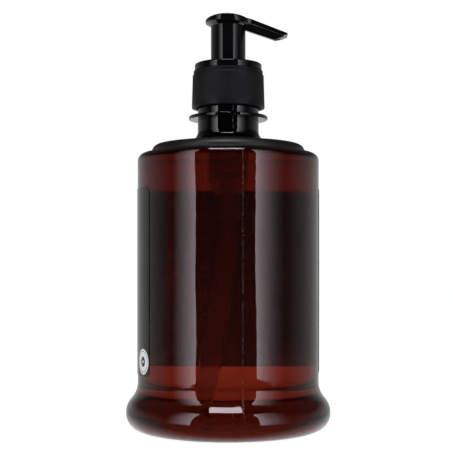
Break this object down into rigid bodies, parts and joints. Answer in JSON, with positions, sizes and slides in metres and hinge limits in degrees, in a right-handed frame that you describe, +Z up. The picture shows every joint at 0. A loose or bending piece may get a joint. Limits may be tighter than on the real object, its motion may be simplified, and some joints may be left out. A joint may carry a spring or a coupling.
{
  "type": "soap pump dispenser",
  "caption": "Round amber plastic bottle with a bulged foot and a black screw-on press pump whose sloping spout swivels over a ribbed closure.",
  "frame": {"origin": "centre of the bottle's standing face, on the surface it stands on", "axes": "+Z up along the bottle; +X along the spout at rest; the label's middle faces roughly +Y"},
  "size_m": [0.0882, 0.088, 0.1777],
  "materials": {
    "amber_pet": "clear dark amber PET, glossy",
    "label_film": "printed satin film, black face",
    "closure_plastic": "black polypropylene, finely ribbed",
    "gloss_black": "black polypropylene, glossy moulded",
    "natural_pp": "translucent natural polypropylene",
    "tube_pe": "translucent natural polyethylene tube",
    "seal_pe": "soft white polyethylene",
    "gasket_foam": "white expanded polyethylene foam",
    "spring_steel": "drawn stainless wire",
    "valve_glass": "polished glass ball"
  },
  "bodies": {
    "bottle": {"bottle": "amber_pet", "label": "label_film"},
    "pump_body": {"housing": "natural_pp", "gasket": "gasket_foam", "lock_collar": "gloss_black", "stem_wiper": "seal_pe", "dip_tube": "tube_pe"},
    "closure_ring": {"closure": "closure_plastic"},
    "return_spring": {"spring": "spring_steel"},
    "plunger": {"stem": "natural_pp", "piston_seat": "natural_pp", "actuator": "gloss_black"},
    "piston_sleeve": {"piston": "seal_pe"},
    "inlet_valve": {"inlet_ball": "valve_glass"},
    "outlet_valve": {"outlet_ball": "valve_glass"}
  },
  "joints": [
    {"name": "pump_lift", "type": "slide", "parent": "bottle", "child": "pump_body", "axis": [0, 0, 1], "range_m": [0, 0.00635]},
    {"name": "closure_turn", "type": "hinge", "parent": "pump_body", "child": "closure_ring", "pos_m": [0, 0, 0.145], "axis": [0, 0, 1], "range_deg": [0, 540]},
    {"name": "head_swivel", "type": "hinge", "parent": "pump_body", "child": "return_spring", "pos_m": [0, 0, 0.117], "axis": [0, 0, 1], "continuous": true},
    {"name": "pump_stroke", "type": "slide", "parent": "return_spring", "child": "plunger", "axis": [0, 0, 1], "range_m": [-0.0115, 0], "stiffness_N_per_m": 900, "springref_m": 0.0025, "deforming": ["spring"]},
    {"name": "piston_valve", "type": "slide", "parent": "plunger", "child": "piston_sleeve", "axis": [0, 0, 1], "range_m": [0, 0.0008]},
    {"name": "inlet_lift", "type": "slide", "parent": "pump_body", "child": "inlet_valve", "axis": [0, 0, 1], "range_m": [0, 0.0016]},
    {"name": "outlet_lift", "type": "slide", "parent": "plunger", "child": "outlet_valve", "axis": [0, 0, 1], "range_m": [0, 0.0009]}
  ],
  "couplings": [
    {"joint": "pump_lift", "follows": "closure_turn", "m_per_rad": 0.00067376}
  ]
}
